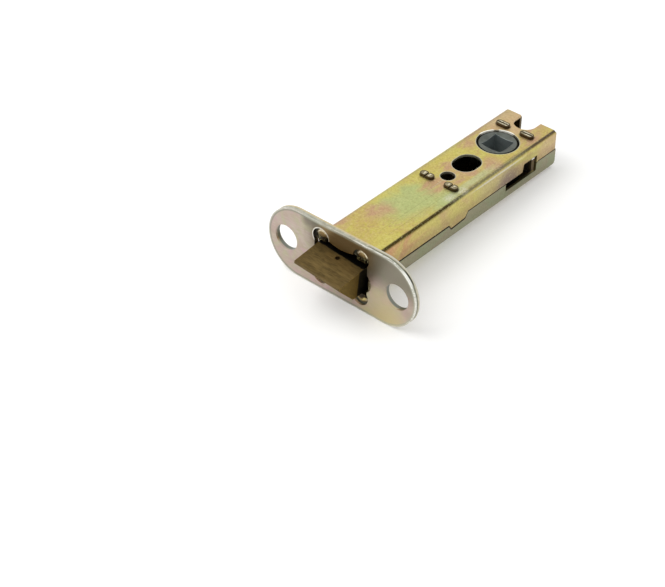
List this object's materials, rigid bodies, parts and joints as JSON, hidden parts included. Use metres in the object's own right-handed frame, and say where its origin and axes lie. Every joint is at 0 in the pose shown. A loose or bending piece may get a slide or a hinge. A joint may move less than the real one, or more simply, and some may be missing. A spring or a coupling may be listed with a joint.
{
  "type": "tubular mortice latch",
  "caption": "Tubular mortice latch: a sprung bevelled bolt in a two-part folded steel case behind a round-ended forend, drawn back by a square-hole follower.",
  "frame": {"origin": "centre of the forend's front face, midway between its two screw holes", "axes": "+X along the forend, +Y from the forend to the rear of the case, +Z along the spindle's axis; the bolt points to -Y"},
  "size_m": [0.062, 0.114, 0.026],
  "materials": {
    "forend_steel": "zinc plated and passivated, fine draw lines",
    "passivated_steel": "yellow passivated, iridescent",
    "bright_steel": "bright plated",
    "spring_steel": "drawn wire",
    "bolt_brass": "satin, lines across the bolt",
    "follower_metal": "dull grey, cast"
  },
  "bodies": {
    "case": {"forend_plate": "forend_steel", "upper_shell": "passivated_steel", "lower_shell": "passivated_steel", "front_bridge": "bright_steel", "rear_bridge": "bright_steel", "return_spring": "spring_steel"},
    "follower": {"follower_hub": "follower_metal"},
    "tail": {"tail_fork": "passivated_steel", "bolt_spring": "spring_steel"},
    "bolt": {"latch_bolt": "bolt_brass", "bolt_stem": "bright_steel", "stem_pin": "bright_steel", "stem_clip": "bright_steel"}
  },
  "joints": [
    {"name": "follower_turn", "type": "hinge", "parent": "case", "child": "follower", "pos_m": [0, 0.082, 0], "axis": [0, 0, 1], "range_deg": [0, 70]},
    {"name": "tail_slide", "type": "slide", "parent": "case", "child": "tail", "axis": [0, 1, 0], "range_m": [0, 0.01], "stiffness_N_per_m": 600, "springref_m": -0.01, "deforming": ["return_spring"]},
    {"name": "bolt_slide", "type": "slide", "parent": "tail", "child": "bolt", "axis": [0, 1, 0], "range_m": [0, 0.0108], "stiffness_N_per_m": 300, "springref_m": -0.008, "deforming": ["bolt_spring"]}
  ],
  "couplings": [
    {"joint": "follower_turn", "follows": "tail_slide", "rad_per_m": 122.1}
  ]
}
